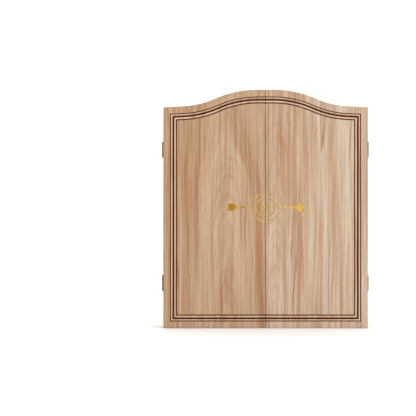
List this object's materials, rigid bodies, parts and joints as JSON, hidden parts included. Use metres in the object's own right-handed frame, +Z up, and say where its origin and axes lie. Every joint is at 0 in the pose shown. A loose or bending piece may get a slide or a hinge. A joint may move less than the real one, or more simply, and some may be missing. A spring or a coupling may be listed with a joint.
{
  "type": "dart board cabinet",
  "caption": "Arched wall cabinet with a pair of hinged doors over a round bristle dartboard on a bracket, with scoring panels and dart racks on the doors.",
  "frame": {"origin": "middle of the cabinet's footprint, on the plane it stands on", "axes": "+Z up, -Y out through the doors towards the player, +X to the right seen from the front"},
  "size_m": [0.5184, 0.102, 0.595],
  "materials": {
    "door_veneer": "satin clear-coated ash veneer, upright grain",
    "case_veneer": "satin clear-coated ash veneer",
    "back_ply": "matt plywood",
    "frame_wood": "satin stained wood",
    "dark_line": "satin dark brown stain",
    "gold_inlay": "polished gold",
    "antique_brass": "antiqued brass",
    "zinc_steel": "zinc plated",
    "catch_plastic": "moulded brown",
    "slate_black": "matt chalk surface",
    "sisal": "dyed end-grain sisal fibre, matt",
    "chipboard": "raw chipboard",
    "band_black": "black enamel",
    "wire_steel": "bright drawn wire",
    "number_white": "white enamel wire",
    "foot_rubber": "matt",
    "dart_point_steel": "polished steel",
    "dart_barrel_black": "black coating over brass",
    "dart_stem_black": "glossy",
    "flight_oxblood": "glossy film",
    "flight_black": "glossy film"
  },
  "bodies": {
    "case": {"arch_top": "case_veneer", "back_panel": "back_ply", "board_bracket": "zinc_steel", "bottom_panel": "case_veneer", "case_hinge_leaves": "antique_brass", "case_screws": "antique_brass", "hinge_pins": "antique_brass", "left_side": "case_veneer", "magnetic_catch": "catch_plastic", "right_side": "case_veneer"},
    "dartboard": {"backing_board": "chipboard", "centre_screw": "zinc_steel", "ring_clips": "band_black", "rubber_feet": "foot_rubber", "sisal_disc": "sisal", "spider_wires": "wire_steel", "steel_band": "band_black"},
    "dart_1": {"dart_1_barrel": "dart_barrel_black", "dart_1_flight": "flight_oxblood", "dart_1_point": "dart_point_steel", "dart_1_stem": "dart_stem_black"},
    "dart_2": {"dart_2_barrel": "dart_barrel_black", "dart_2_flight": "flight_oxblood", "dart_2_point": "dart_point_steel", "dart_2_stem": "dart_stem_black"},
    "dart_3": {"dart_3_barrel": "dart_barrel_black", "dart_3_flight": "flight_oxblood", "dart_3_point": "dart_point_steel", "dart_3_stem": "dart_stem_black"},
    "dart_4": {"dart_4_barrel": "dart_barrel_black", "dart_4_flight": "flight_black", "dart_4_point": "dart_point_steel", "dart_4_stem": "dart_stem_black"},
    "dart_5": {"dart_5_barrel": "dart_barrel_black", "dart_5_flight": "flight_black", "dart_5_point": "dart_point_steel", "dart_5_stem": "dart_stem_black"},
    "dart_6": {"dart_6_barrel": "dart_barrel_black", "dart_6_flight": "flight_black", "dart_6_point": "dart_point_steel", "dart_6_stem": "dart_stem_black"},
    "left_door": {"left_dart_rack": "frame_wood", "left_door_lines": "dark_line", "left_door_panel": "door_veneer", "left_door_screws": "antique_brass", "left_emblem": "gold_inlay", "left_hinge_leaves": "antique_brass", "left_scoreboard": "slate_black", "left_scoreboard_frame": "frame_wood", "left_strike_plate": "zinc_steel"},
    "number_ring": {"number_ring": "number_white"},
    "right_door": {"right_dart_rack": "frame_wood", "right_door_lines": "dark_line", "right_door_panel": "door_veneer", "right_door_screws": "antique_brass", "right_emblem": "gold_inlay", "right_hinge_leaves": "antique_brass", "right_scoreboard": "slate_black", "right_scoreboard_frame": "frame_wood", "right_strike_plate": "zinc_steel"}
  },
  "joints": [
    {"name": "board_turn", "type": "hinge", "parent": "case", "child": "dartboard", "pos_m": [0, 0.04, 0.305], "axis": [0, 1, 0], "continuous": true},
    {"name": "door_left_hinge", "type": "hinge", "parent": "case", "child": "left_door", "pos_m": [-0.256, -0.0345, 0.276], "axis": [0, 0, -1], "range_deg": [0, 180]},
    {"name": "door_right_hinge", "type": "hinge", "parent": "case", "child": "right_door", "pos_m": [0.256, -0.0345, 0.276], "axis": [0, 0, 1], "range_deg": [0, 180]},
    {"name": "number_ring_turn", "type": "hinge", "parent": "dartboard", "child": "number_ring", "pos_m": [0, 0.001, 0.305], "axis": [0, 1, 0], "continuous": true},
    {"name": "lift_dart_1", "type": "slide", "parent": "left_door", "child": "dart_1", "axis": [0, 0, 1], "range_m": [0, 0.045]},
    {"name": "lift_dart_2", "type": "slide", "parent": "left_door", "child": "dart_2", "axis": [0, 0, 1], "range_m": [0, 0.045]},
    {"name": "lift_dart_3", "type": "slide", "parent": "left_door", "child": "dart_3", "axis": [0, 0, 1], "range_m": [0, 0.045]},
    {"name": "lift_dart_4", "type": "slide", "parent": "right_door", "child": "dart_4", "axis": [0, 0, 1], "range_m": [0, 0.045]},
    {"name": "lift_dart_5", "type": "slide", "parent": "right_door", "child": "dart_5", "axis": [0, 0, 1], "range_m": [0, 0.045]},
    {"name": "lift_dart_6", "type": "slide", "parent": "right_door", "child": "dart_6", "axis": [0, 0, 1], "range_m": [0, 0.045]}
  ]
}
